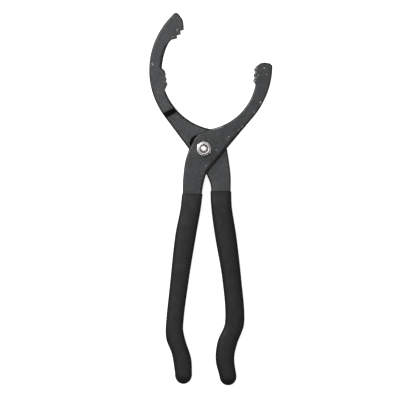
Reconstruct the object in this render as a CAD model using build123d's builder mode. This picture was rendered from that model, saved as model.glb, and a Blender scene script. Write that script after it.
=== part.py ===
from build123d import *
import os
from math import cos, radians, sin

os.makedirs("parts", exist_ok=True)

# Slip-joint oil filter pliers lying flat. The origin is on the pivot axis, level with
# the outer face of the bolt's head. +Y points from the handles to the jaws, +X to the
# right handle's side, and +Z up through the nut.

# Driving dimensions, in millimetres
PLATE = 6.0  # thickness of each forged half
LAP_GAP = 0.2  # between the two halves where they cross
HEAD_D = 16.0
HEAD_HEIGHT = 2.8
HEAD_CHAMFER = 0.8
WASHER_D = 18.0
WASHER_HEIGHT = 0.9
FACE_GAP = 0.05  # between flat faces that slide on each other
BOLT_D = 8.0  # of the shank between the head and the thread
THREAD_D = 6.35
BOLT_FLATS = 6.3  # across the two flats of the shank
THREAD_START = 1.0  # below the front half's top face, where the shank ends
BOLT_CHAMFER = 1.1
BOLT_PROUD = 0.8  # of the nut
SLIDE_CLEARANCE = 0.08  # of the shank in the slot and in the washer, on the radius
HOLE_R = BOLT_D / 2 + SLIDE_CLEARANCE
HOLE_FLATS = BOLT_FLATS + 2 * SLIDE_CLEARANCE
SLOT_ANGLE = 13.6  # of the slot to +X, in degrees
SLOT_TRAVEL = 5.5  # between the slot's two lobes
BOSS_R = 9.5  # of the boss under the front half
SEAT_DEPTH = 1.5  # of the recess in the rear half that the boss slides in
SEAT_LEFT = 10.5  # from the pivot to the recess's walls, along and across the slot
SEAT_UP = 12.6
SEAT_GAP = 0.3  # between the boss and the recess's other two walls
SEAT_CORNER = 7.0
NUT_FLATS = 11.1
NUT_HEX_HEIGHT = 5.4
NUT_CHAMFER = 0.6  # height that the hexagon's corners lose at both ends
NUT_CHAMFER_REACH = 1.0  # how far out the cut surface goes over that height
NUT_HEIGHT = 8.0
COLLAR_R = 4.6
COLLAR_FILLET = 0.5
COLLAR_LIP = 0.6  # thickness of the metal turned in over the insert
INSERT_R = 3.9
JOGGLE_DIRECTION = 118.0  # of the step in the left jaw, across its slope, in degrees
JOGGLE_START = 37.0  # from the pivot to the foot of the slope on top
JOGGLE_RUN = 4.5
JOGGLE_SHIFT = 3.0  # of the slope underneath, which keeps the plate's thickness
REACH = 250.0  # past the end of the part in any direction
GRIP_THICKNESS = 12.0
GRIP_WALL = 2.1

# Heights that follow from them
REAR_Z = HEAD_HEIGHT + WASHER_HEIGHT + 2 * FACE_GAP
REAR_TOP = REAR_Z + PLATE
FRONT_Z = REAR_TOP + LAP_GAP
FRONT_TOP = FRONT_Z + PLATE
SEAT_Z = REAR_TOP - SEAT_DEPTH
HEX_TOP = FRONT_TOP + NUT_HEX_HEIGHT
COLLAR_HEIGHT = NUT_HEIGHT - NUT_HEX_HEIGHT
INSERT_HEIGHT = COLLAR_HEIGHT - COLLAR_LIP
BOLT_TOP = FRONT_TOP + NUT_HEIGHT + BOLT_PROUD

# Points that the two halves share, seen from above
HUB_CENTRE = (3.6, 0.9)  # of the round outlines of both hubs
REAR_HUB_R = 15.5
FRONT_HUB_R = 13.5
JAW_VALLEY = (6.0, 16.4)  # where the inner edges of the two jaws cross
RIGHT_NOTCH = (18.9, 0.5)  # where the right jaw's outer edge crosses the right handle
LEFT_NOTCH = (-12.3, 0.0)


def on_hub(radius, degrees):
    """A point on a circle about the hubs' centre."""
    return (
        HUB_CENTRE[0] + radius * cos(radians(degrees)),
        HUB_CENTRE[1] + radius * sin(radians(degrees)),
    )


def along_slot(distance):
    """A point at a distance from the pivot towards the slot's far lobe."""
    return (
        distance * cos(radians(SLOT_ANGLE)),
        distance * sin(radians(SLOT_ANGLE)),
    )


# The sleeves from above: points on the left edge going down from the mouth, points on
# the right edge going back up to it, and how far the rounded end stands past them
LEFT_HANDLE = {
    "down": [
        (-18.0, -36.8),
        (-19.4, -49.5),
        (-23.6, -71.0),
        (-27.6, -108.0),
        (-31.3, -145.0),
        (-30.9, -156.0),
        (-26.4, -168.0),
        (-23.7, -184.0),
    ],
    "up": [
        (-9.7, -185.5),
        (-10.4, -172.0),
        (-15.2, -156.5),
        (-17.0, -146.0),
        (-12.4, -108.0),
        (-6.4, -71.0),
        (-2.6, -49.5),
        (-1.0, -36.8),
    ],
    "end": 8.0,
}
RIGHT_HANDLE = {
    "down": [
        (5.3, -34.4),
        (6.0, -48.0),
        (9.0, -71.0),
        (15.2, -108.0),
        (17.3, -142.5),
        (11.3, -158.0),
        (9.6, -173.0),
        (12.9, -187.6),
    ],
    "up": [
        (26.8, -186.6),
        (25.0, -172.0),
        (27.3, -160.5),
        (33.2, -143.0),
        (30.9, -108.0),
        (26.7, -71.0),
        (23.1, -48.0),
        (22.5, -34.4),
    ],
    "end": 7.2,
}
SLEEVED_STEPS = 20  # sections from the mouth to where the end starts to round off
END_ANGLES = (25, 50, 70, 82)  # of the sections round the end
MOUTH_THICKNESS = 8.2
MOUTH_CORNER = 1.5
SLEEVE_CORNER = 5.0
SWELL = 0.18  # share of the sleeve's length over which it swells from its mouth


def tang_outline(handle):
    """The part of a forging that its sleeve covers, from above."""
    left = [(x + GRIP_WALL, y) for x, y in handle["down"]]
    right = [(x - GRIP_WALL, y) for x, y in handle["up"]]
    down = Spline(*left)
    up = Spline(*right)
    end_y = (down @ 1).Y - handle["end"] / 2
    ThreePointArc(down @ 1, (((down @ 1).X + (up @ 0).X) / 2, end_y), up @ 0)
    Line(up @ 1, down @ 0)


def sleeve(handle, forging, middle_z):
    """A sleeve through rounded sections across the handle, hollow for the tang."""
    down = Spline(*handle["down"])
    up = Spline(*handle["up"])
    sections = []
    for step in range(SLEEVED_STEPS + 1):
        share = step / SLEEVED_STEPS
        swell = sin(radians(90 * min(1.0, share / SWELL)))
        thickness = MOUTH_THICKNESS + (GRIP_THICKNESS - MOUTH_THICKNESS) * swell
        corner = MOUTH_CORNER + (SLEEVE_CORNER - MOUTH_CORNER) * swell
        sections.append((down @ share, up @ (1 - share), thickness, corner))
    last_left, last_right = sections[-1][:2]
    across = last_right - last_left
    middle = (last_left + last_right) / 2
    onward = across.normalized().rotate(Axis.Z, -90) * handle["end"]
    for angle in END_ANGLES:
        shrink = cos(radians(angle))
        half = across / 2 * shrink
        centre = middle + onward * sin(radians(angle))
        sections.append(
            (centre - half, centre + half, GRIP_THICKNESS * shrink, SLEEVE_CORNER * shrink)
        )
    with BuildPart() as grip:
        for left, right, thickness, corner in sections:
            across = right - left
            centre = (left + right) / 2 + Vector(0, 0, middle_z)
            plane = Plane(centre, x_dir=across, z_dir=across.rotate(Axis.Z, -90))
            with BuildSketch(plane):
                RectangleRounded(across.length, thickness, corner)
        loft()
        add(forging.part, mode=Mode.SUBTRACT)
    return grip


# Front half: left handle, hub and right jaw, one flat plate with a boss under the hub
with BuildPart() as front_half:
    with BuildSketch(Plane.XY.offset(FRONT_Z)):
        with BuildLine():
            jaw_inside = ThreePointArc(JAW_VALLEY, (29.7, 29.1), (42.3, 52.9))
            teeth = Polyline(
                jaw_inside @ 1,
                (40.2, 55.8),
                (41.6, 58.4),
                (40.7, 60.3),
                (41.9, 62.8),
                (41.0, 65.7),
                (43.0, 67.7),
                (46.2, 70.1),
                (49.4, 70.8),
                (54.1, 70.1),
                (56.2, 68.2),
            )
            jaw_outside = ThreePointArc(teeth @ 1, (52.6, 47.4), (40.5, 26.0))
            shoulder = Line(jaw_outside @ 1, RIGHT_NOTCH)
            crossing = Line(shoulder @ 1, (2.6, -18.7))
            handle_inside = ThreePointArc(crossing @ 1, (-0.5, -29.5), (-1.9, -40.0))
            handle_end = Line(handle_inside @ 1, (-17.6, -40.0))
            handle_outside = Spline(
                handle_end @ 1,
                (-17.4, -34.0),
                (-17.1, -24.3),
                (-15.4, -10.6),
                (-12.4, -0.6),
            )
            hub_side = Line(handle_outside @ 1, on_hub(FRONT_HUB_R, 163))
            hub_corner = ThreePointArc(
                hub_side @ 1,
                on_hub(FRONT_HUB_R, 135),
                on_hub(FRONT_HUB_R, 107),
            )
            Line(hub_corner @ 1, JAW_VALLEY)
        make_face()
        with BuildLine():
            tang_outline(LEFT_HANDLE)
        make_face()
    extrude(amount=PLATE)
    with BuildSketch(Plane.XY.offset(SEAT_Z + FACE_GAP)):
        Circle(BOSS_R)
    extrude(until=Until.NEXT)
    with BuildSketch(Plane.XY):
        Circle(HOLE_R)
        Rectangle(BOLT_D, HOLE_FLATS, rotation=SLOT_ANGLE, mode=Mode.INTERSECT)
    extrude(amount=FRONT_TOP, mode=Mode.SUBTRACT)
front_half.part.label = "front_half"
export_step(front_half.part, "parts/front_half.step")

# Rear half: right handle, slotted hub and left jaw. The jaw steps up over a short
# slope, so that it ends in the same plane as the right jaw.
with BuildPart() as rear_half:
    with BuildSketch(Plane.XY.offset(REAR_Z)):
        with BuildLine():
            low_inside = ThreePointArc(JAW_VALLEY, (-17.2, 27.2), (-32.0, 48.6))
            middle_teeth = Polyline(
                low_inside @ 1,
                (-29.8, 53.1),
                (-31.2, 55.6),
                (-30.5, 57.1),
                (-31.7, 59.9),
                (-31.2, 61.4),
                (-32.0, 64.0),
                (-34.4, 66.2),
            )
            high_inside = ThreePointArc(middle_teeth @ 1, (-32.6, 77.4), (-28.4, 87.8))
            tip_steps = Polyline(
                high_inside @ 1,
                (-26.5, 89.6),
                (-21.9, 90.8),
                (-22.2, 93.3),
                (-19.0, 93.9),
                (-19.3, 96.8),
                (-16.4, 97.9),
                (-17.3, 105.4),
                (-20.6, 110.3),
            )
            tip = ThreePointArc(tip_steps @ 1, (-22.9, 111.7), (-25.5, 110.0))
            jaw_outside = ThreePointArc(tip @ 1, (-44.9, 66.0), (-33.1, 27.7))
            shoulder = Line(jaw_outside @ 1, LEFT_NOTCH)
            hub_left = ThreePointArc(
                shoulder @ 1,
                on_hub(REAR_HUB_R, 197),
                on_hub(REAR_HUB_R, 216),
            )
            crossing = Line(hub_left @ 1, (2.4, -21.4))
            handle_inside = Spline(
                crossing @ 1,
                (4.8, -27.0),
                (5.8, -31.5),
                (6.1, -38.0),
            )
            handle_end = Line(handle_inside @ 1, (21.9, -38.0))
            handle_outside = Spline(
                handle_end @ 1,
                (22.1, -30.0),
                (22.0, -21.5),
                (20.6, -10.0),
                RIGHT_NOTCH,
            )
            ThreePointArc(handle_outside @ 1, on_hub(REAR_HUB_R, 45), JAW_VALLEY)
        make_face()
        with BuildLine():
            tang_outline(RIGHT_HANDLE)
        make_face()
    extrude(amount=FRONT_TOP - REAR_Z)
    # The plate's side view along the jaw, swept right across the part
    with BuildSketch(Plane.XZ.rotated((0, 0, JOGGLE_DIRECTION)).offset(-REACH)):
        with BuildLine():
            Polyline(
                (-REACH, REAR_Z),
                (JOGGLE_START + JOGGLE_SHIFT, REAR_Z),
                (JOGGLE_START + JOGGLE_SHIFT + JOGGLE_RUN, FRONT_Z),
                (REACH, FRONT_Z),
                (REACH, FRONT_TOP),
                (JOGGLE_START + JOGGLE_RUN, FRONT_TOP),
                (JOGGLE_START, REAR_TOP),
                (-REACH, REAR_TOP),
                close=True,
            )
        make_face()
    extrude(amount=2 * REACH, mode=Mode.INTERSECT)
    # Recess for the front half's boss
    seat_right = SLOT_TRAVEL + BOSS_R + SEAT_GAP
    seat_down = BOSS_R + SEAT_GAP
    with BuildSketch(Plane.XY.offset(SEAT_Z).rotated((0, 0, SLOT_ANGLE))):
        with Locations(((seat_right - SEAT_LEFT) / 2, (SEAT_UP - seat_down) / 2)):
            RectangleRounded(seat_right + SEAT_LEFT, SEAT_UP + seat_down, SEAT_CORNER)
    extrude(amount=SEAT_DEPTH, mode=Mode.SUBTRACT)
    # Slot with a round lobe at each end, and a neck that only the flats pass
    with BuildSketch(Plane.XY.offset(REAR_Z)):
        with Locations((0, 0), along_slot(SLOT_TRAVEL)):
            Circle(HOLE_R)
        with Locations(along_slot(SLOT_TRAVEL / 2)):
            Rectangle(SLOT_TRAVEL, HOLE_FLATS, rotation=SLOT_ANGLE)
    extrude(amount=PLATE, mode=Mode.SUBTRACT)
rear_half.part.label = "rear_half"
export_step(rear_half.part, "parts/rear_half.step")

# Grips
left_grip = sleeve(LEFT_HANDLE, front_half, FRONT_Z + PLATE / 2)
left_grip.part.label = "left_grip"
export_step(left_grip.part, "parts/left_grip.step")

right_grip = sleeve(RIGHT_HANDLE, rear_half, REAR_Z + PLATE / 2)
right_grip.part.label = "right_grip"
export_step(right_grip.part, "parts/right_grip.step")

# Pivot bolt: low round head, shank with two flats, and a round threaded end
with BuildPart() as pivot_bolt:
    with BuildSketch():
        Circle(HEAD_D / 2)
    extrude(amount=HEAD_HEIGHT)
    chamfer(pivot_bolt.edges().group_by(Axis.Z)[0], HEAD_CHAMFER)
    with BuildSketch(Plane.XY.offset(HEAD_HEIGHT)):
        Circle(BOLT_D / 2)
        Rectangle(BOLT_D, BOLT_FLATS, rotation=SLOT_ANGLE, mode=Mode.INTERSECT)
    extrude(amount=FRONT_TOP - THREAD_START - HEAD_HEIGHT)
    with BuildSketch(Plane.XY.offset(FRONT_TOP - THREAD_START)):
        Circle(THREAD_D / 2)
    extrude(amount=BOLT_TOP - FRONT_TOP + THREAD_START)
    chamfer(pivot_bolt.edges().group_by(Axis.Z)[-1], BOLT_CHAMFER)
pivot_bolt.part.label = "pivot_bolt"
export_step(pivot_bolt.part, "parts/pivot_bolt.step")

# Back washer: covers the slot under the bolt's head
with BuildPart() as back_washer:
    with BuildSketch(Plane.XY.offset(HEAD_HEIGHT + FACE_GAP)):
        Circle(WASHER_D / 2)
        Circle(HOLE_R, mode=Mode.SUBTRACT)
    extrude(amount=WASHER_HEIGHT)
back_washer.part.label = "back_washer"
export_step(back_washer.part, "parts/back_washer.step")

# Lock nut: hexagon with chamfered corners and a round collar turned in over the insert
with BuildPart() as lock_nut:
    with BuildSketch(Plane.XY.offset(FRONT_TOP)):
        RegularPolygon(NUT_FLATS / 2, 6, major_radius=False, rotation=30)
    extrude(amount=NUT_HEX_HEIGHT)
    with BuildSketch(Plane.XZ):
        with BuildLine():
            Polyline(
                (0, FRONT_TOP),
                (NUT_FLATS / 2, FRONT_TOP),
                (NUT_FLATS / 2 + NUT_CHAMFER_REACH, FRONT_TOP + NUT_CHAMFER),
                (NUT_FLATS / 2 + NUT_CHAMFER_REACH, HEX_TOP - NUT_CHAMFER),
                (NUT_FLATS / 2, HEX_TOP),
                (0, HEX_TOP),
                close=True,
            )
        make_face()
    revolve(axis=Axis.Z, mode=Mode.INTERSECT)
    with BuildSketch(Plane.XY.offset(HEX_TOP)):
        Circle(COLLAR_R)
    extrude(amount=COLLAR_HEIGHT)
    fillet(lock_nut.edges().group_by(Axis.Z)[-1], COLLAR_FILLET)
    with BuildSketch(Plane.XY.offset(FRONT_TOP)):
        Circle(THREAD_D / 2)
    extrude(amount=NUT_HEIGHT, mode=Mode.SUBTRACT)
    with BuildSketch(Plane.XY.offset(HEX_TOP)):
        Circle(INSERT_R)
    extrude(amount=INSERT_HEIGHT, mode=Mode.SUBTRACT)
lock_nut.part.label = "lock_nut"
export_step(lock_nut.part, "parts/lock_nut.step")

# Nylon ring held in the nut's collar
with BuildPart() as nut_insert:
    with BuildSketch(Plane.XY.offset(HEX_TOP)):
        Circle(INSERT_R)
        Circle(THREAD_D / 2, mode=Mode.SUBTRACT)
    extrude(amount=INSERT_HEIGHT)
nut_insert.part.label = "nut_insert"
export_step(nut_insert.part, "parts/nut_insert.step")
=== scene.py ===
"""Slip-joint oil filter pliers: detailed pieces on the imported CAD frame."""

from math import atan2, ceil, cos, pi, radians, sin, sqrt, tau

import bmesh
import bpy
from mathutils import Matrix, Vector


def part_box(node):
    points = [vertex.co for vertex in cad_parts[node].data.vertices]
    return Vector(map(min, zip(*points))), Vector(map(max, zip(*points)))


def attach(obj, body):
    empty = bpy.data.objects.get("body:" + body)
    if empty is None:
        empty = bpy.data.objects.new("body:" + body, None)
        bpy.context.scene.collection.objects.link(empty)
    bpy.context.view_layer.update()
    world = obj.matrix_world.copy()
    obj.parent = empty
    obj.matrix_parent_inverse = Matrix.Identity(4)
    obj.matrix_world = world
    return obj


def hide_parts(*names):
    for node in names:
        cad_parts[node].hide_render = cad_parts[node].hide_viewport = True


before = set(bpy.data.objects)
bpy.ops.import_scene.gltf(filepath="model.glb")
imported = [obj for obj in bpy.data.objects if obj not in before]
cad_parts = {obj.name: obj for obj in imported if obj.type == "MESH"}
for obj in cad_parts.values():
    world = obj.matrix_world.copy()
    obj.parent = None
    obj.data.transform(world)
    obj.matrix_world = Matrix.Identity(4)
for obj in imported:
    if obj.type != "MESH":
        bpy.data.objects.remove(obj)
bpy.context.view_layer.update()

MM = 0.001


# ---------------------------------------------------------------- sizes, in millimetres

def height(node, side):
    """The z of a CAD node's underside (0) or top (1)."""
    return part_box(node)[side].z / MM


PLATE = 6.0
SEAT_DEPTH = 1.5  # of the recess that the front half's hub slides in
BOSS_R = 9.5  # the front half's hub goes on below its plate
BOSS_OVERLAP = 0.5  # of the hub with the plate that it joins
BOLT_R = 4.0
BOLT_FLATS = 6.3
THREAD_R = 3.175
CLEARANCE = 0.08  # between the bolt and its holes
THROUGH = 1.0  # how far a cutter goes past the faces that it cuts
SLOT_ANGLE = 13.6
SLOT_TRAVEL = 5.5
HUB_CENTRE = (3.6, 0.9)
REAR_HUB_R = 15.5
FRONT_HUB_R = 13.5
GRIP_WALL = 2.1
GRIP_THICKNESS = 12.0

FRONT_TOP = height("front_half", 1)
FRONT_LOW = FRONT_TOP - PLATE
BOSS_LOW = height("front_half", 0)
REAR_LOW = height("rear_half", 0)
REAR_TOP = REAR_LOW + PLATE
SEAT_LOW = REAR_TOP - SEAT_DEPTH
NUT_TOP = height("lock_nut", 1)
BOLT_TOP = height("pivot_bolt", 1)

EDGE_BEVEL = 1.5  # along the forgings' outlines
TOOTH_BEVEL = 0.35  # share of it at the teeth
TIP_BEVEL = 0.7  # share of it round the jaws' tips
HIDDEN_BEVEL = 0.15  # share of it at the shoulders that the sleeves hide
RIM_SLOPE = 0.45  # how fast the bevel's width may change along the outline
RIM_STEPS = 5
MITRE_LIMIT = 0.6  # least cosine used at a sharp corner, so that its inset stays short
POINT_SPACING = 1.6  # along the curves of the outlines
CIRCLE_SIDES = 72  # of a cutter
LATHE_SIDES = 96
TINY = 0.001  # a radius, height or sine below this counts as zero
PLATE_SHARP = 22  # degrees between faces from which an edge stays sharp
HARDWARE_SHARP = 35
BEVEL_TILT = (0.12, 0.97)  # a face whose normal's z is between these lies on a bevel
SHOULDER_DEPTH = 4.0  # how far inside the sleeve's mouth the forging narrows


# ------------------------------------------------------------------------------ outlines

def circle_through(a, b, c):
    """Centre of the circle through three points."""
    ax, ay = a
    bx, by = b
    cx, cy = c
    d = 2 * (ax * (by - cy) + bx * (cy - ay) + cx * (ay - by))
    a2, b2, c2 = ax * ax + ay * ay, bx * bx + by * by, cx * cx + cy * cy
    x = (a2 * (by - cy) + b2 * (cy - ay) + c2 * (ay - by)) / d
    y = (a2 * (cx - bx) + b2 * (ax - cx) + c2 * (bx - ax)) / d
    return x, y


def arc(start, through, end, rim=1.0, spacing=POINT_SPACING):
    """Points on an arc, without its end. Each point is (x, y, share of the rim bevel)."""
    cx, cy = circle_through(start, through, end)
    first = atan2(start[1] - cy, start[0] - cx)
    turn = (atan2(end[1] - cy, end[0] - cx) - first) % tau
    passed = (atan2(through[1] - cy, through[0] - cx) - first) % tau
    if passed > turn:
        turn -= tau
    radius = sqrt((start[0] - cx) ** 2 + (start[1] - cy) ** 2)
    steps = max(3, round(abs(turn) * radius / spacing))
    angles = [first + turn * step / steps for step in range(steps)]
    return [(cx + radius * cos(a), cy + radius * sin(a), rim) for a in angles]


def corners(*points, rim=1.0):
    """Straight runs from point to point."""
    return [(x, y, rim) for x, y in points]


def smooth(points, rim=1.0, spacing=POINT_SPACING):
    """Points on a smooth curve through the given ones, without its end."""
    padded = [points[0], *points, points[-1]]
    padded[0] = tuple(2 * p - q for p, q in zip(points[0], points[1]))
    padded[-1] = tuple(2 * p - q for p, q in zip(points[-1], points[-2]))
    path = []
    for before, start, end, after in zip(padded, padded[1:], padded[2:], padded[3:]):
        length = sqrt((end[0] - start[0]) ** 2 + (end[1] - start[1]) ** 2)
        steps = max(2, round(length / spacing))
        near = sqrt((start[0] - before[0]) ** 2 + (start[1] - before[1]) ** 2)
        far = sqrt((after[0] - end[0]) ** 2 + (after[1] - end[1]) ** 2)
        for step in range(steps):
            t = step / steps
            point = []
            for axis in (0, 1):
                leave = (end[axis] - before[axis]) * length / (near + length)
                arrive = (after[axis] - start[axis]) * length / (length + far)
                eased = 3 * t**2 - 2 * t**3
                point.append(
                    (1 - eased) * start[axis]
                    + (t**3 - 2 * t**2 + t) * leave
                    + eased * end[axis]
                    + (t**3 - t**2) * arrive
                )
            path.append((point[0], point[1], rim))
    return path


def on_hub(radius, degrees):
    """A point on a circle about the hubs' centre."""
    return (
        HUB_CENTRE[0] + radius * cos(radians(degrees)),
        HUB_CENTRE[1] + radius * sin(radians(degrees)),
    )


JAW_VALLEY = (6.0, 16.4)
RIGHT_NOTCH = (18.9, 0.5)
LEFT_NOTCH = (-12.3, 0.0)

# The sleeves from above, as in the CAD part: left edge down, right edge up, round end
LEFT_HANDLE = {
    "down": [
        (-18.0, -36.8),
        (-19.4, -49.5),
        (-23.6, -71.0),
        (-27.6, -108.0),
        (-31.3, -145.0),
        (-30.9, -156.0),
        (-26.4, -168.0),
        (-23.7, -184.0),
    ],
    "up": [
        (-9.7, -185.5),
        (-10.4, -172.0),
        (-15.2, -156.5),
        (-17.0, -146.0),
        (-12.4, -108.0),
        (-6.4, -71.0),
        (-2.6, -49.5),
        (-1.0, -36.8),
    ],
    "end": 8.0,
}
RIGHT_HANDLE = {
    "down": [
        (5.3, -34.4),
        (6.0, -48.0),
        (9.0, -71.0),
        (15.2, -108.0),
        (17.3, -142.5),
        (11.3, -158.0),
        (9.6, -173.0),
        (12.9, -187.6),
    ],
    "up": [
        (26.8, -186.6),
        (25.0, -172.0),
        (27.3, -160.5),
        (33.2, -143.0),
        (30.9, -108.0),
        (26.7, -71.0),
        (23.1, -48.0),
        (22.5, -34.4),
    ],
    "end": 7.2,
}


def tang(handle):
    """The part of a forging inside its sleeve: left edge down, round end, right edge up."""
    left = smooth([(x + GRIP_WALL, y) for x, y in handle["down"]])
    right = smooth([(x - GRIP_WALL, y) for x, y in handle["up"]])
    down_end = (handle["down"][-1][0] + GRIP_WALL, handle["down"][-1][1])
    up_start = (handle["up"][0][0] - GRIP_WALL, handle["up"][0][1])
    middle = ((down_end[0] + up_start[0]) / 2, down_end[1] - handle["end"] / 2)
    end = arc(down_end, middle, up_start)
    shoulder_y = handle["down"][0][1] - SHOULDER_DEPTH
    return [(x, y, HIDDEN_BEVEL) for x, y, _ in left + end + right if y < shoulder_y]


def front_outline():
    """The front half from above: right jaw, left handle and hub."""
    return [
        *arc(JAW_VALLEY, (29.7, 29.1), (42.3, 52.9)),
        *corners(
            (42.3, 52.9),
            (40.2, 55.8),
            (41.6, 58.4),
            (40.7, 60.3),
            (41.9, 62.8),
            (41.0, 65.7),
            (43.0, 67.7),
            rim=TOOTH_BEVEL,
        ),
        *corners((46.2, 70.1), (49.4, 70.8), (54.1, 70.1), rim=TIP_BEVEL),
        *arc((56.2, 68.2), (52.6, 47.4), (40.5, 26.0)),
        *corners((40.5, 26.0)),
        *corners(RIGHT_NOTCH, rim=1.9),
        *arc((2.6, -18.7), (-0.5, -29.5), (-1.9, -40.0), rim=1.5),
        *corners((-1.9, -40.0), rim=HIDDEN_BEVEL),
        *reversed(tang(LEFT_HANDLE)),
        *corners((-17.6, -40.0), rim=HIDDEN_BEVEL),
        *smooth(
            [(-17.6, -40.0), (-17.4, -34.0), (-17.1, -24.3), (-15.4, -10.6), (-12.4, -0.6)]
        )[1:],
        *corners((-12.4, -0.6)),
        *arc(
            on_hub(FRONT_HUB_R, 163),
            on_hub(FRONT_HUB_R, 135),
            on_hub(FRONT_HUB_R, 107),
        ),
        *corners(on_hub(FRONT_HUB_R, 107)),
    ]


def rear_outline():
    """The rear half from above: left jaw, hub and right handle."""
    return [
        *arc(JAW_VALLEY, (-17.2, 27.2), (-32.0, 48.6), rim=1.2),
        *corners(
            (-32.0, 48.6),
            (-29.8, 53.1),
            (-31.2, 55.6),
            (-30.5, 57.1),
            (-31.7, 59.9),
            (-31.2, 61.4),
            (-32.0, 64.0),
            rim=TOOTH_BEVEL,
        ),
        *arc((-34.4, 66.2), (-32.6, 77.4), (-28.4, 87.8), rim=1.7),
        *corners(
            (-28.4, 87.8),
            (-26.5, 89.6),
            (-21.9, 90.8),
            (-22.2, 93.3),
            (-19.0, 93.9),
            (-19.3, 96.8),
            (-16.4, 97.9),
            rim=TOOTH_BEVEL,
        ),
        *smooth([(-16.4, 97.9), (-17.3, 105.4), (-20.6, 110.3)], rim=TIP_BEVEL)[1:],
        *arc((-20.6, 110.3), (-22.9, 111.7), (-25.5, 110.0), rim=TIP_BEVEL),
        *arc((-25.5, 110.0), (-44.9, 66.0), (-33.1, 27.7)),
        *corners((-33.1, 27.7)),
        *corners(LEFT_NOTCH),
        *arc(on_hub(REAR_HUB_R, 190), on_hub(REAR_HUB_R, 197), on_hub(REAR_HUB_R, 216)),
        *corners(on_hub(REAR_HUB_R, 216)),
        *smooth([(2.4, -21.4), (4.8, -27.0), (5.8, -31.5), (6.1, -38.0)]),
        *corners((6.1, -38.0), rim=HIDDEN_BEVEL),
        *tang(RIGHT_HANDLE),
        *corners((21.9, -38.0), rim=HIDDEN_BEVEL),
        *smooth([(21.9, -38.0), (22.1, -30.0), (22.0, -21.5), (20.6, -10.0), RIGHT_NOTCH])[1:],
        *arc(RIGHT_NOTCH, on_hub(REAR_HUB_R, 45), JAW_VALLEY),
    ]


# -------------------------------------------------------------------------- mesh helpers

def new_piece(name, bm, body, node, material):
    """Makes a mesh piece that rides on a body and stands for a CAD node."""
    mesh = bpy.data.meshes.new(name)
    bmesh.ops.recalc_face_normals(bm, faces=bm.faces)
    bm.to_mesh(mesh)
    bm.free()
    piece = bpy.data.objects.new(name, mesh)
    bpy.context.scene.collection.objects.link(piece)
    mesh.materials.append(material)
    mesh.shade_smooth()
    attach(piece, body)
    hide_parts(node)
    return piece


def apply_modifier(piece, kind, **settings):
    """Adds a modifier, applies it to the piece's mesh and removes it."""
    modifier = piece.modifiers.new(kind.lower(), kind)
    for key, value in settings.items():
        setattr(modifier, key, value)
    graph = bpy.context.evaluated_depsgraph_get()
    mesh = bpy.data.meshes.new_from_object(piece.evaluated_get(graph))
    piece.modifiers.remove(modifier)
    old = piece.data
    piece.data = mesh
    bpy.data.meshes.remove(old)


def rim_widths(outline):
    """The bevel's width at each point, easing in from the narrow ones beside it."""
    widths = [EDGE_BEVEL * rim for _, _, rim in outline]
    count = len(outline)
    for step in (1, -1):
        for turn in range(2 * count):
            i = (turn * step) % count
            before = (i - step) % count
            run = sqrt(
                (outline[i][0] - outline[before][0]) ** 2
                + (outline[i][1] - outline[before][1]) ** 2
            )
            widths[i] = min(widths[i], widths[before] + RIM_SLOPE * run)
    return widths


def inward_steps(outline):
    """For each point, the way into the plate that moves both of its edges in by 1."""
    spots = [Vector((x, y)) for x, y, _ in outline]
    count = len(spots)
    area = sum(spots[i - 1].cross(spots[i]) for i in range(count))
    side = 1 if area > 0 else -1
    steps = []
    for i in range(count):
        before = (spots[i] - spots[i - 1]).normalized()
        after = (spots[(i + 1) % count] - spots[i]).normalized()
        first = Vector((-before.y, before.x)) * side
        second = Vector((-after.y, after.x)) * side
        middle = (first + second).normalized()
        steps.append(middle / max(MITRE_LIMIT, middle.dot(first)))
    return steps


def plate(outline, low, top):
    """A bmesh plate with rounded rims."""
    widths = rim_widths(outline)
    inward = inward_steps(outline)
    bm = bmesh.new()
    rings = []
    quarter = [pi / 2 * turn / RIM_STEPS for turn in range(RIM_STEPS + 1)]
    levels = [(low, 1, a) for a in reversed(quarter)] + [(top, -1, a) for a in quarter]
    for face, into_plate, a in levels:
        ring = []
        for (x, y, _), width, step in zip(outline, widths, inward):
            inset = step * width * (1 - cos(a))
            z = face + into_plate * width * (1 - sin(a))
            ring.append(bm.verts.new(Vector((x + inset.x, y + inset.y, z)) * MM))
        rings.append(ring)
    for near, far in zip(rings, rings[1:]):
        for i in range(len(outline)):
            j = (i + 1) % len(outline)
            bm.faces.new((near[i], near[j], far[j], far[i]))
    caps = [bm.faces.new(rings[0]), bm.faces.new(rings[-1])]
    bm.normal_update()
    bmesh.ops.triangulate(bm, faces=caps)
    return bm


def prism(points, low, top, foot=None):
    """A cutter over an outline of (x, y), tapering down to the foot's outline if given."""
    bm = bmesh.new()
    lower = [bm.verts.new((x * MM, y * MM, low * MM)) for x, y in foot or points]
    upper = [bm.verts.new((x * MM, y * MM, top * MM)) for x, y in points]
    bm.faces.new(lower)
    bm.faces.new(upper)
    for i in range(len(points)):
        j = (i + 1) % len(points)
        bm.faces.new((lower[i], lower[j], upper[j], upper[i]))
    bmesh.ops.recalc_face_normals(bm, faces=bm.faces)
    mesh = bpy.data.meshes.new("cutter")
    bm.to_mesh(mesh)
    bm.free()
    cutter = bpy.data.objects.new("cutter", mesh)
    bpy.context.scene.collection.objects.link(cutter)
    return cutter


def cut(piece, cutter, operation="DIFFERENCE"):
    """Cuts a piece with a cutter, or joins them, and deletes the cutter."""
    apply_modifier(piece, "BOOLEAN", object=cutter, operation=operation, solver="MANIFOLD")
    mesh = cutter.data
    bpy.data.objects.remove(cutter)
    bpy.data.meshes.remove(mesh)


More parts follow.
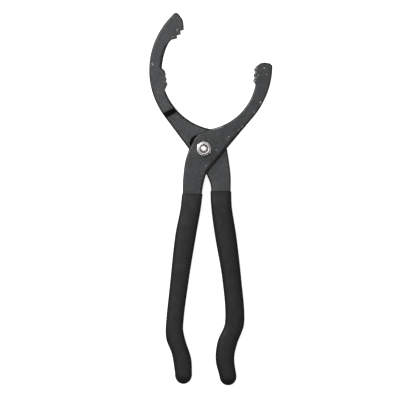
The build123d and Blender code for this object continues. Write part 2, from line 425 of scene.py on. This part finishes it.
def ring_points(centre, radius, flats=None, angle=0.0):
    """A circle's points, cut off by two parallel flats if they are given."""
    points = []
    for side in range(CIRCLE_SIDES):
        a = tau * side / CIRCLE_SIDES
        reach = radius
        if flats is not None:
            across = abs(sin(a - radians(angle)))
            reach = min(radius, flats / 2 / max(across, TINY))
        points.append((centre[0] + reach * cos(a), centre[1] + reach * sin(a)))
    return points


def along_slot(distance, across=0.0):
    """A point along the slot's line from the pivot, and off to its left."""
    c, s = cos(radians(SLOT_ANGLE)), sin(radians(SLOT_ANGLE))
    return distance * c - across * s, distance * s + across * c


def even_normals(piece):
    """Shades large flat faces flat and the small faces between them smooth."""
    piece.data.set_sharp_from_angle(angle=radians(PLATE_SHARP))
    apply_modifier(piece, "WEIGHTED_NORMAL", keep_sharp=True)


def edge_mask(piece):
    """Marks the vertices in the middle of the bevels, where the finish wears off."""
    mesh = piece.data
    least, most = BEVEL_TILT
    slanted = [least < abs(face.normal.z) < most for face in mesh.polygons]
    marks = [1.0] * len(mesh.vertices)
    for face, is_slanted in zip(mesh.polygons, slanted):
        if not is_slanted:
            for index in face.vertices:
                marks[index] = 0.0
    layer = mesh.attributes.new("edge", "FLOAT", "POINT")
    layer.data.foreach_set("value", marks)


def around(radius, z, steps):
    """Points of a profile, given as steps (outwards, upwards) from one place."""
    return [(radius + out, z + up) for out, up in steps]


def turned(profile, limit=None):
    """A bmesh solid of revolution through (radius, z) points.

    A profile that starts on the axis ends on it too, and any other closes on itself.
    limit(angle, radius, z), if given, returns the radius that is left after cutting."""
    bm = bmesh.new()
    rings = []
    for radius, z in profile:
        if radius < TINY:
            rings.append([bm.verts.new((0, 0, z * MM))])
            continue
        ring = []
        for side in range(LATHE_SIDES):
            a = tau * side / LATHE_SIDES
            r = limit(a, radius, z) if limit else radius
            ring.append(bm.verts.new((r * cos(a) * MM, r * sin(a) * MM, z * MM)))
        rings.append(ring)
    after = rings[1:]
    if len(rings[0]) > 1:
        after.append(rings[0])
    for low, high in zip(rings, after):
        for side in range(LATHE_SIDES):
            n = (side + 1) % LATHE_SIDES
            if len(low) == 1:
                bm.faces.new((low[0], high[n], high[side]))
            elif len(high) == 1:
                bm.faces.new((low[side], low[n], high[0]))
            else:
                bm.faces.new((low[side], low[n], high[n], high[side]))
    return bm


# ----------------------------------------------------------------------------- materials

SOCKETS = {
    "base_color": "Base Color",
    "metallic": "Metallic",
    "roughness": "Roughness",
    "specular": "Specular IOR Level",
    "subsurface": "Subsurface Weight",
    "glow": "Emission Strength",
}
MIX_SHARE, MIX_A, MIX_B, MIX_RESULT = 0, 6, 7, 2  # a Mix node's sockets for colours
TURNING_PITCH = 0.35  # between a lathe's tool marks


class Finish:
    """A procedural material: one Principled shader and the nodes that feed it.

    Object coordinates are metres, so a noise of scale 1000 has features of about 1 mm."""

    def __init__(self, name, **constants):
        self.material = bpy.data.materials.new(name)
        self.material.use_nodes = True
        self.tree = self.material.node_tree
        self.shader = self.tree.nodes["Principled BSDF"]
        for key, value in constants.items():
            self.shader.inputs[SOCKETS[key]].default_value = value
        self.place = self.node("TexCoord").outputs["Object"]

    def node(self, kind, inputs=None, **settings):
        """Adds a node; inputs may be numbers, colours or other nodes' outputs."""
        made = self.tree.nodes.new("ShaderNode" + kind)
        for key, value in settings.items():
            setattr(made, key, value)
        for key, value in (inputs or {}).items():
            socket = made.inputs[key]
            if isinstance(value, bpy.types.NodeSocket):
                self.tree.links.new(value, socket)
            else:
                socket.default_value = value
        return made

    def noise(self, scale, detail=3.0, roughness=0.5, stretch=None):
        """A noise from 0 to 1 in object space."""
        place = self.place
        if stretch:
            place = self.node("Mapping", {"Vector": place, "Scale": stretch}).outputs[0]
        inputs = {"Vector": place, "Scale": scale, "Detail": detail, "Roughness": roughness}
        return self.node("TexNoise", inputs).outputs[0]

    def spread(self, value, low, high, to_low=0.0, to_high=1.0):
        """Maps low..high to to_low..to_high, held at the ends."""
        inputs = {0: value, 1: low, 2: high, 3: to_low, 4: to_high}
        return self.node("MapRange", inputs, interpolation_type="SMOOTHSTEP").outputs[0]

    def math(self, operation, a, b=0.0):
        """One arithmetic step; b is unused where the operation takes one value."""
        return self.node("Math", {0: a, 1: b}, operation=operation).outputs[0]

    def mix(self, share, a, b):
        """Mixes two colours by a share."""
        made = self.node("Mix", {MIX_SHARE: share, MIX_A: a, MIX_B: b}, data_type="RGBA")
        return made.outputs[MIX_RESULT]

    def flat_place(self):
        """The place seen from above, with no height."""
        made = self.node("VectorMath", {0: self.place, 1: (1, 1, 0)}, operation="MULTIPLY")
        return made.outputs[0]

    def attribute(self, name):
        """A value that the mesh stores at its vertices."""
        return self.node("Attribute", attribute_name=name).outputs["Fac"]

    def spots(self, points, soften=0.35):
        """1 near each (x, y, radius) in millimetres, 0 away from them, at any height."""
        flat = self.flat_place()
        total = None
        for x, y, radius in points:
            inputs = {0: flat, 1: (x * MM, y * MM, 0)}
            far = self.node("VectorMath", inputs, operation="DISTANCE").outputs["Value"]
            near = self.spread(far, radius * MM, radius * MM * soften)
            total = near if total is None else self.math("MAXIMUM", total, near)
        return total

    def bumps(self, *layers):
        """Chains bump layers, each (height, strength, depth in millimetres)."""
        normal = None
        for value, strength, depth in layers:
            inputs = {"Height": value, "Strength": strength, "Distance": depth * MM}
            if normal:
                inputs["Normal"] = normal
            normal = self.node("Bump", inputs).outputs[0]
        self.tree.links.new(normal, self.shader.inputs["Normal"])

    def feed(self, **sockets):
        """Links other nodes' outputs to the shader's sockets."""
        for key, value in sockets.items():
            self.tree.links.new(value, self.shader.inputs[SOCKETS[key]])


def grey(shade, warmth=0.0):
    """A near-grey colour; warmth above 0 is browner, below 0 bluer."""
    return shade * (1 + warmth), shade, shade * (1 - warmth), 1.0


def forged_steel(name, dark, light, chips_and_highlights):
    """Blackened forged steel: blasted grain, scale marks, rubbed edges, and bare spots that
    are partly chips and partly painted highlights.
    """
    steel = Finish(name, metallic=1.0)
    coolness = -0.035

    patches = steel.spread(steel.noise(90, 4, 0.6), 0.3, 0.7)
    colour = steel.mix(patches, grey(dark, coolness), grey(light, coolness))
    grain = steel.noise(2600, 3, 0.6)
    light_grain = steel.spread(grain, 0.35, 0.7, 0.0, 0.45)
    colour = steel.mix(light_grain, colour, grey(light * 1.5))
    pits = steel.spread(steel.noise(1100, 2, 0.5), 0.62, 0.72, 0.0, 0.5)
    colour = steel.mix(pits, colour, grey(dark * 0.5))

    broken = steel.spread(steel.noise(420, 5, 0.65), 0.42, 0.66, 0.0, 0.3)
    rubbed = steel.math("MULTIPLY", steel.attribute("edge"), broken)
    colour = steel.mix(rubbed, colour, grey(light * 3.0))
    # Bare steel at the listed spots: partly chips, partly painted highlights.
    flecks = steel.spread(steel.noise(1300, 3, 0.7), 0.46, 0.58)
    bare_and_highlight = steel.math("MULTIPLY", steel.spots(chips_and_highlights), flecks)
    colour = steel.mix(steel.math("MULTIPLY", bare_and_highlight, 0.75), colour, grey(0.42))

    rough = steel.spread(steel.noise(700, 3), 0.3, 0.7, 0.42, 0.58)
    rough = steel.math("SUBTRACT", rough, steel.math("MULTIPLY", bare_and_highlight, 0.2))
    steel.feed(base_color=colour, roughness=rough)
    steel.bumps(
        (steel.noise(60, 3), 0.35, 0.5),
        (steel.noise(330, 3), 0.35, 0.12),
        (grain, 0.35, 0.04),
        (bare_and_highlight, 0.5, -0.1),
    )
    return steel.material


def plated_steel(name, shade, rings):
    """Bright zinc-plated steel with stains, specks and turning marks of a given strength."""
    zinc = Finish(name, metallic=1.0)
    stains = zinc.spread(zinc.noise(260, 4, 0.6), 0.35, 0.7)
    colour = zinc.mix(stains, grey(shade, 0.02), grey(shade * 0.72, 0.03))
    specks = zinc.spread(zinc.noise(2200, 2), 0.64, 0.7, 0.0, 0.6)
    colour = zinc.mix(specks, colour, grey(shade * 0.3, 0.05))
    rubbed = zinc.math("MULTIPLY", zinc.attribute("edge"), zinc.noise(900, 3))
    colour = zinc.mix(rubbed, colour, grey(min(0.9, shade * 1.25)))
    rough = zinc.spread(zinc.noise(800, 3), 0.3, 0.7, 0.3, 0.45)
    zinc.feed(base_color=colour, roughness=rough)
    radius = zinc.node("VectorMath", {0: zinc.flat_place()}, operation="LENGTH")
    turns = zinc.math("MULTIPLY", radius.outputs["Value"], tau / (TURNING_PITCH * MM))
    tool_marks = zinc.math("SINE", turns)
    zinc.bumps((tool_marks, rings, 0.01), (zinc.noise(700, 3), 0.12, 0.02))
    return zinc.material


def dipped_vinyl(name, shade):
    """Matt black vinyl: faint orange peel, dusty patches and scuffs along the handle."""
    vinyl = Finish(name, specular=0.34)
    dust = vinyl.spread(vinyl.noise(45, 5, 0.6), 0.35, 0.75)
    colour = vinyl.mix(dust, grey(shade), grey(shade * 1.35, 0.02))
    peel = vinyl.noise(900, 2, 0.5)
    colour = vinyl.mix(vinyl.spread(peel, 0.4, 0.7, 0.0, 0.3), colour, grey(shade * 1.6))
    long_marks = vinyl.noise(260, 4, 0.7, stretch=(5, 1, 5))
    scuffs = vinyl.spread(long_marks, 0.63, 0.72, 0.0, 0.5)
    colour = vinyl.mix(scuffs, colour, grey(shade * 2.0, 0.01))
    rough = vinyl.spread(vinyl.noise(160, 4), 0.3, 0.7, 0.5, 0.64)
    vinyl.feed(base_color=colour, roughness=rough)
    vinyl.bumps((vinyl.noise(70, 2), 0.2, 0.5), (peel, 0.3, 0.06), (scuffs, 0.2, -0.03))
    return vinyl.material


def dark_nylon(name):
    """Dark nylon with faint patches and moulding marks."""
    nylon = Finish(name, subsurface=0.2)
    patches = nylon.spread(nylon.noise(700, 3), 0.3, 0.7)
    nylon.feed(
        base_color=nylon.mix(patches, grey(0.03, -0.03), grey(0.05, -0.03)),
        roughness=nylon.spread(nylon.noise(1500, 3), 0.3, 0.7, 0.35, 0.5),
    )
    nylon.bumps((nylon.noise(1800, 3), 0.3, 0.03))
    return nylon.material


# ------------------------------------------------------------------------------ forgings

JOGGLE_DIRECTION = 118.0  # degrees, towards the left jaw
JOGGLE_TOP = (37.0, 41.5)  # where the step starts and ends on the top face
JOGGLE_UNDER = (40.0, 44.5)
JOGGLE_STEPS = 20
CUT_WELD = 0.01  # a vertex this near to a cutting plane counts as on it
SHORTEST_EDGE = 0.005
SEAT_RIGHT = 15.3  # the recess's sides, as distances from the pivot
SEAT_DOWN = -9.8
SEAT_RIM = {"left": -10.5, "up": 12.6, "corner": 7.0}
SEAT_FOOT = {"left": -9.8, "up": 10.2, "corner": 8.5}
SEAT_CORNER_STEPS = 8

# Bare spots in millimetres: x, y, radius. On the front half they are partly chips and partly
# painted highlights, such as the row along the jaw's V.
FRONT_CHIPS_AND_HIGHLIGHTS = [
    (41.0, 55.3, 1.6),
    (42.2, 58.4, 1.7),
    (42.0, 62.6, 2.0),
    (42.0, 66.6, 2.4),
    (44.8, 60.2, 1.2),
    (51.5, 61.0, 1.0),
    (49.5, 66.0, 1.0),
    (46.5, 38.0, 1.3),
    (40.5, 30.0, 1.0),
    (31.5, 18.0, 1.2),
    (28.5, 15.5, 1.0),
    (20.0, 10.0, 1.1),
    (18.6, 8.2, 1.0),
    (7.6, 16.1, 1.4),
    (9.3, 16.6, 1.4),
    (11.2, 17.1, 1.4),
    (13.0, 17.8, 1.4),
    (15.2, 18.6, 1.4),
    (4.2, 8.0, 0.6),
    (9.9, -0.9, 0.6),
    (1.7, -14.0, 0.8),
    (-12.2, -2.5, 0.7),
]
REAR_CHIPS = [
    (-42.0, 69.5, 1.3),
    (-22.0, 97.5, 1.2),
    (-25.3, 91.7, 1.0),
    (-21.0, 92.0, 1.0),
    (-31.0, 58.5, 0.9),
]


def joggle_share(s, span):
    """How far the step has risen at a distance s along it: 0 to 1, easing at both ends."""
    share = min(1.0, max(0.0, (s - span[0]) / (span[1] - span[0])))
    eased = share * share * (3 - 2 * share)
    return 0.5 * (share + eased)


def step_up(piece):
    """Lifts the jaw end of the rear plate up to the front plate's level."""
    bm = bmesh.new()
    bm.from_mesh(piece.data)
    direction = Vector((cos(radians(JOGGLE_DIRECTION)), sin(radians(JOGGLE_DIRECTION)), 0))
    middle = (REAR_LOW + REAR_TOP) / 2 * MM
    for step in range(JOGGLE_STEPS + 1):
        s = JOGGLE_TOP[0] + (JOGGLE_UNDER[1] - JOGGLE_TOP[0]) * step / JOGGLE_STEPS
        bmesh.ops.bisect_plane(
            bm,
            geom=bm.verts[:] + bm.edges[:] + bm.faces[:],
            dist=CUT_WELD * MM,
            plane_co=direction * s * MM,
            plane_no=direction,
        )
    bmesh.ops.dissolve_degenerate(bm, edges=bm.edges, dist=SHORTEST_EDGE * MM)
    rise = FRONT_TOP - REAR_TOP
    for vert in bm.verts:
        s = vert.co.dot(direction) / MM
        span = JOGGLE_TOP if vert.co.z > middle else JOGGLE_UNDER
        vert.co.z += rise * joggle_share(s, span) * MM
    bm.to_mesh(piece.data)
    bm.free()


def forging(body, bm, material):
    """A half's plate, before it is cut, with its bevels marked."""
    name = f"{body}_half"
    piece = new_piece(f"{name}_forging", bm, body, name, material)
    edge_mask(piece)
    return piece


def make_front_half():
    """The front half: a hub below the plate, and a hole that fits the bolt's flats."""
    # Its steel is painted darker than the rear half's: painted shade, as this half catches
    # less light.
    material = forged_steel("front_steel_painted_darker", 0.046, 0.061, FRONT_CHIPS_AND_HIGHLIGHTS)
    piece = forging("front", plate(front_outline(), FRONT_LOW, FRONT_TOP), material)
    hub = prism(ring_points((0, 0), BOSS_R), BOSS_LOW, FRONT_LOW + BOSS_OVERLAP)
    cut(piece, hub, "UNION")
    hole_r, hole_flats = BOLT_R + CLEARANCE, BOLT_FLATS + 2 * CLEARANCE
    hole = ring_points((0, 0), hole_r, hole_flats, SLOT_ANGLE)
    cut(piece, prism(hole, BOSS_LOW - THROUGH, FRONT_TOP + THROUGH))
    even_normals(piece)


def seat_outline(left, up, corner):
    """The rounded recess that the front half's hub slides in, turned along the slot."""
    points = []
    sides = [(SEAT_RIGHT, up), (left, up), (left, SEAT_DOWN), (SEAT_RIGHT, SEAT_DOWN)]
    for turn, (u, v) in enumerate(sides):
        centre_u = u - corner if u > 0 else u + corner
        centre_v = v - corner if v > 0 else v + corner
        for step in range(SEAT_CORNER_STEPS + 1):
            a = radians(90 * turn + 90 * step / SEAT_CORNER_STEPS)
            points.append(along_slot(centre_u + corner * cos(a), centre_v + corner * sin(a)))
    return points


def make_rear_half():
    """The rear half: a sloping recess, a slot with two round lobes, and a raised jaw."""
    # Its steel is painted lighter than the front half's: painted light, as this half's faces
    # catch more of the lamp.
    material = forged_steel("rear_steel_painted_lighter", 0.052, 0.07, REAR_CHIPS)
    piece = forging("rear", plate(rear_outline(), REAR_LOW, REAR_TOP), material)
    rim, foot = seat_outline(**SEAT_RIM), seat_outline(**SEAT_FOOT)
    rise = (SEAT_DEPTH + THROUGH) / SEAT_DEPTH
    above = [(a + (c - a) * rise, b + (d - b) * rise) for (a, b), (c, d) in zip(foot, rim)]
    cut(piece, prism(above, SEAT_LOW, REAR_TOP + THROUGH, foot))
    low, top = REAR_LOW - THROUGH, FRONT_TOP + THROUGH
    for lobe in (0.0, SLOT_TRAVEL):
        cut(piece, prism(ring_points(along_slot(lobe), BOLT_R + CLEARANCE), low, top))
    half = BOLT_FLATS / 2 + CLEARANCE
    neck = [along_slot(0, -half), along_slot(SLOT_TRAVEL, -half)]
    neck += [along_slot(SLOT_TRAVEL, half), along_slot(0, half)]
    cut(piece, prism(neck, low, top))
    step_up(piece)
    even_normals(piece)


# -------------------------------------------------------------------------------- sleeves

SLEEVE_STATIONS = 110
SLEEVE_SIDES = 48
MOUTH_THICKNESS = 8.2
MOUTH_SQUARENESS = 4.5  # of a section: 2 is an ellipse, more is boxier
GRIP_SQUARENESS = 2.9
STEEL_SQUARENESS = 6
STEEL_GAP = 0.3  # how far the mouth's inside runs into the forging
SWELL = 0.18  # share of the sleeve's length over which it thickens
LIP = 0.7  # radius of the mouth's rolled edge
LIP_ANGLES = (0, 30, 60)
END_ANGLES = range(8, 90, 8)


def at_shares(points, count):
    """The given number of points, evenly spread by length along a polyline."""
    lengths = [0.0]
    for (ax, ay), (bx, by) in zip(points, points[1:]):
        lengths.append(lengths[-1] + sqrt((bx - ax) ** 2 + (by - ay) ** 2))
    spread = []
    i = 0
    for step in range(count):
        goal = lengths[-1] * step / (count - 1)
        while i < len(points) - 2 and lengths[i + 1] < goal:
            i += 1
        t = (goal - lengths[i]) / (lengths[i + 1] - lengths[i])
        spread.append(tuple(p + (q - p) * t for p, q in zip(points[i], points[i + 1])))
    return spread


def section(centre, across, half_sizes, middle_z, squareness):
    """A superellipse across the handle, with half its width and half its thickness given."""
    half_width, half_thickness = half_sizes
    ring = []
    for side in range(SLEEVE_SIDES):
        a = tau * side / SLEEVE_SIDES
        u = abs(cos(a)) ** (2 / squareness) * (1 if cos(a) >= 0 else -1)
        v = abs(sin(a)) ** (2 / squareness) * (1 if sin(a) >= 0 else -1)
        spot = centre + across * u * half_width
        ring.append(Vector((spot.x, spot.y, middle_z + v * half_thickness)) * MM)
    return ring


def make_sleeve(name, body, handle, plate_low, material):
    """A dipped sleeve: a rolled lip at the mouth, a swell and a round end."""
    middle_z = plate_low + PLATE / 2
    edges = []
    for points in (handle["down"], handle["up"][::-1]):
        fine = [(x, y) for x, y, _ in smooth(points)] + [points[-1]]
        edges.append(at_shares(fine, SLEEVE_STATIONS))
    rings = []
    for i, (left, right) in enumerate(zip(*edges)):
        left, right = Vector(left), Vector(right)
        centre = (left + right) / 2
        across = (right - left).normalized()
        onward = Vector((across.y, -across.x))
        half_width = (right - left).length / 2
        swell = sin(pi / 2 * min(1, i / (SLEEVE_STATIONS - 1) / SWELL))
        half_thickness = (MOUTH_THICKNESS + (GRIP_THICKNESS - MOUTH_THICKNESS) * swell) / 2
        squareness = MOUTH_SQUARENESS + (GRIP_SQUARENESS - MOUTH_SQUARENESS) * swell
        if i > 0:
            size = half_width, half_thickness
            rings.append(section(centre, across, size, middle_z, squareness))
            continue
        inside = half_width - GRIP_WALL - STEEL_GAP, PLATE / 2 - STEEL_GAP
        foot = centre + onward * LIP
        rings.append(section(foot, across, inside, middle_z, STEEL_SQUARENESS))
        for angle in LIP_ANGLES:
            inset = LIP * (1 - sin(radians(angle)))
            rolled = centre + onward * LIP * (1 - cos(radians(angle)))
            size = half_width - inset, half_thickness - inset
            rings.append(section(rolled, across, size, middle_z, squareness))
    for angle in END_ANGLES:
        shrink = cos(radians(angle))
        tip = centre + onward * handle["end"] * sin(radians(angle))
        size = half_width * shrink, GRIP_THICKNESS / 2 * shrink
        rings.append(section(tip, across, size, middle_z, squareness))
    bm = bmesh.new()
    loops = [[bm.verts.new(point) for point in ring] for ring in rings]
    end = centre + onward * handle["end"]
    pole = bm.verts.new(Vector((end.x, end.y, middle_z)) * MM)
    bm.faces.new(loops[0])
    for side in range(SLEEVE_SIDES):
        n = (side + 1) % SLEEVE_SIDES
        for near, far in zip(loops, loops[1:]):
            bm.faces.new((near[side], near[n], far[n], far[side]))
        bm.faces.new((loops[-1][side], loops[-1][n], pole))
    new_piece(name, bm, body, name.replace("_sleeve", "_grip"), material)


# -------------------------------------------------------------------------- pivot hardware

HEAD_R = 8.0
HEAD_TOP = 2.8
NECK = 1.1  # how far below the front half's top the shank ends
THREAD_START = 1.0  # how far below it the thread's cylinder starts
THREAD_RUN_IN = 0.1
THREAD_RUN_OUT = 0.9  # how far in along the end's chamfer the thread reaches
THREAD_DEPTH = 0.5
THREAD_FLANK = 0.42  # half the groove's width, as a share of the pitch
THREAD_RINGS = 10  # in one pitch
PITCH = 1.27
BOLT_CHAMFER = 1.1
CHAMFER_SHARES = (0.0, 0.25, 0.5, 0.75, 0.9)
NUT_FLATS = 11.1
HEX_HEIGHT = 5.4
HEX_TOP = FRONT_TOP + HEX_HEIGHT
HEX_INSET = 0.4  # rings further than this inside the flats are left round
COLLAR_R = 4.6
COLLAR_LIP = 0.6  # thickness of the collar's rolled-in edge
LIP_R = 3.6
INSERT_R = 3.9
WASHER_R = 9.0


def bolt_radius(angle, radius, z):
    """Flats on the shank and a helical thread above them."""
    if HEAD_TOP < z < FRONT_TOP - NECK and radius <= BOLT_R:
        across = abs(sin(angle - radians(SLOT_ANGLE)))
        return min(radius, BOLT_FLATS / 2 / max(across, TINY))
    thread_low = FRONT_TOP - THREAD_START + THREAD_RUN_IN
    if z > thread_low and radius > THREAD_R - THREAD_RUN_OUT:
        phase = (z / PITCH - angle / tau) % 1.0
        groove = max(0.0, 1 - abs(phase - 0.5) / THREAD_FLANK)
        return min(radius, THREAD_R - THREAD_DEPTH * groove)
    return radius


def make_bolt(material):
    """The pivot bolt: low round head with a dimple, keyed shank and threaded end."""
    thread_low, thread_top = FRONT_TOP - THREAD_START, BOLT_TOP - BOLT_CHAMFER
    spacing = PITCH / THREAD_RINGS
    profile = [
        *around(0, 0, [(0, 0.35), (1.2, 0.3), (1.5, 0)]),
        *around(HEAD_R, 0, [(-1.0, 0), (-0.65, 0.12), (-0.3, 0.4), (-0.08, 0.8), (0, 1.2)]),
        *around(HEAD_R, HEAD_TOP, [(0, -0.35), (-0.1, -0.1), (-0.35, 0)]),
        *around(BOLT_R, HEAD_TOP, [(0.25, 0), (0, 0.25)]),
        *around(BOLT_R, FRONT_TOP - NECK, [(0, -0.2), (-0.2, 0)]),
    ]
    for ring in range(ceil((thread_top - thread_low) / spacing)):
        profile.append((THREAD_R, thread_low + ring * spacing))
    for share in CHAMFER_SHARES:
        profile.append((THREAD_R - BOLT_CHAMFER * share, thread_top + BOLT_CHAMFER * share))
    profile += around(0, BOLT_TOP, [(2.1, -0.04), (1.95, 0), (0.8, 0), (0, -0.03)])
    bm = turned(profile, bolt_radius)
    finish_hardware("pivot_bolt_turned", bm, "front", "pivot_bolt", material)


def hex_radius(angle, radius, z):
    """The nut's flats, which face left and right, on its hexagon only."""
    if radius < NUT_FLATS / 2 - HEX_INSET or z > HEX_TOP + TINY:
        return radius
    turn = (angle + pi / 6) % (pi / 3) - pi / 6
    return min(radius, NUT_FLATS / 2 / cos(turn))


def make_nut(material):
    """The lock nut: chamfered hexagon and a rolled collar over its insert."""
    corner = NUT_FLATS / 2 / cos(pi / 6)
    profile = [
        *around(THREAD_R, FRONT_TOP, [(0, 0.4), (0.4, 0)]),
        *around(corner, FRONT_TOP, [(-0.7, 0), (-0.3, 0.2), (0, 0.5)]),
        *around(corner, HEX_TOP, [(0, -0.75), (-0.2, -0.45), (-0.5, -0.2), (-0.9, 0)]),
        *around(COLLAR_R, HEX_TOP, [(0.35, 0.02), (0.1, 0.12), (0, 0.4)]),
        *around(COLLAR_R, NUT_TOP, [(0, -0.6), (-0.04, -0.35), (-0.14, -0.15)]),
        *around(COLLAR_R, NUT_TOP, [(-0.32, -0.03), (-0.45, 0)]),
        *around(LIP_R, NUT_TOP, [(0.2, 0), (0.05, -0.08), (0, -0.25), (0, -COLLAR_LIP)]),
        (INSERT_R, NUT_TOP - COLLAR_LIP),
        (INSERT_R, HEX_TOP),
        (THREAD_R, HEX_TOP),
    ]
    bm = turned(profile, hex_radius)
    finish_hardware("lock_nut_turned", bm, "front", "lock_nut", material)


def make_insert(material):
    """The nut's nylon ring, under the collar's lip."""
    top = NUT_TOP - COLLAR_LIP
    profile = [
        *around(INSERT_R, HEX_TOP, [(-0.05, 0), (0, 0.1)]),
        *around(INSERT_R, top, [(0, -0.1), (-0.05, 0)]),
        *around(THREAD_R, top, [(0.1, 0), (0, -0.15)]),
        *around(THREAD_R, HEX_TOP, [(0, 0.15), (0.1, 0)]),
    ]
    bm = turned(profile)
    finish_hardware("nut_insert_ring", bm, "front", "nut_insert", material)


def make_washer(material):
    """The back washer: a stamped disc, rounded on one side and sharp on the other."""
    low, top = height("back_washer", 0), height("back_washer", 1)
    bore = BOLT_R + CLEARANCE
    profile = [
        *around(bore, low, [(0, 0.15), (0.15, 0)]),
        *around(WASHER_R, low, [(-0.3, 0), (-0.09, 0.09), (0, 0.3)]),
        *around(WASHER_R, top, [(0, -0.05), (-0.05, 0)]),
        *around(bore, top, [(0.05, 0), (0, -0.05)]),
    ]
    bm = turned(profile)
    finish_hardware("back_washer_disc", bm, "slider", "back_washer", material)


def finish_hardware(name, bm, body, node, material):
    """Makes a turned piece, shades it and marks its bevels."""
    piece = new_piece(name, bm, body, node, material)
    piece.data.set_sharp_from_angle(angle=radians(HARDWARE_SHARP))
    edge_mask(piece)


# ----------------------------------------------------------------------------- the object

make_front_half()
make_rear_half()
# The left sleeve's vinyl is painted lighter than the right's: painted light and shade, for
# light that falls from the left.
left_vinyl_painted_lit = dipped_vinyl("left_vinyl_painted_lit", shade=0.0105)
right_vinyl_painted_shaded = dipped_vinyl("right_vinyl_painted_shaded", shade=0.008)
make_sleeve("left_sleeve", "front", LEFT_HANDLE, FRONT_LOW, left_vinyl_painted_lit)
make_sleeve("right_sleeve", "rear", RIGHT_HANDLE, REAR_LOW, right_vinyl_painted_shaded)
make_bolt(plated_steel("bolt_zinc", shade=0.66, rings=0.3))
make_nut(plated_steel("nut_zinc", shade=0.8, rings=0.1))
make_insert(dark_nylon("insert_nylon"))
make_washer(plated_steel("washer_zinc", shade=0.5, rings=0.05))


# ------------------------------------------------------- floor, light and camera, in metres

VIEW_CENTRE = Vector((-3.2, -41.9, 0.0)) * MM
VIEW_WIDTH = 0.328
CAMERA_HEIGHT = 2.0
FOCUS_HEIGHT = 0.013  # the height at which the view is that wide
SENSOR_WIDTH = 36.0  # millimetres, as is the focal length
FLOOR_SIZE = 3.0
FLOOR_DROP = 0.0002  # below the bolt's head
FLOOR_GLOW = 0.8
WORLD_STRENGTH = 0.13
WHITE = (1, 1, 1, 1)
LIGHTS = [  # name, place, size, watts
    ("key", (-1.0, 0.8, 0.9), 0.8, 18),
    ("overhead", (-0.25, 0.2, 1.7), 1.0, 9),
    ("fill", (1.0, -0.3, 0.8), 0.8, 2),
]


def make_floor():
    """A plain pale floor that glows a little and so shows no shadows."""
    bm = bmesh.new()
    bmesh.ops.create_grid(bm, x_segments=8, y_segments=8, size=FLOOR_SIZE)
    mesh = bpy.data.meshes.new("floor")
    bm.to_mesh(mesh)
    bm.free()
    floor = bpy.data.objects.new("floor", mesh)
    bpy.context.scene.collection.objects.link(floor)
    paper = Finish("floor_paper", roughness=0.9, glow=FLOOR_GLOW)
    paper.shader.inputs["Emission Color"].default_value = WHITE
    tone = paper.spread(paper.noise(3, 2), 0.3, 0.7)
    paper.feed(base_color=paper.mix(tone, grey(0.86), grey(0.88)))
    mesh.materials.append(paper.material)
    floor.location.z = -FLOOR_DROP
    floor.visible_diffuse = False
    floor.visible_glossy = False


def make_light(name, place, size, power):
    """A round lamp that faces the object."""
    light = bpy.data.lights.new(name, "AREA")
    light.shape = "DISK"
    light.size = size
    light.energy = power
    lamp = bpy.data.objects.new(name, light)
    lamp.location = place
    aim = VIEW_CENTRE - Vector(place)
    lamp.rotation_euler = aim.to_track_quat("-Z", "Y").to_euler()
    bpy.context.scene.collection.objects.link(lamp)


def make_world():
    """Weak white light from all round."""
    world = bpy.data.worlds.new("studio")
    world.use_nodes = True
    background = world.node_tree.nodes["Background"]
    background.inputs["Color"].default_value = WHITE
    background.inputs["Strength"].default_value = WORLD_STRENGTH
    bpy.context.scene.world = world


def make_camera():
    """A camera straight above the tool."""
    data = bpy.data.cameras.new("camera")
    data.sensor_width = SENSOR_WIDTH
    data.lens = SENSOR_WIDTH * CAMERA_HEIGHT / VIEW_WIDTH
    camera = bpy.data.objects.new("camera", data)
    camera.location = VIEW_CENTRE + Vector((0, 0, CAMERA_HEIGHT + FOCUS_HEIGHT))
    bpy.context.scene.collection.objects.link(camera)
    bpy.context.scene.camera = camera


make_floor()
for light in LIGHTS:
    make_light(*light)
make_camera()
make_world()
bpy.context.scene.view_settings.view_transform = "Standard"
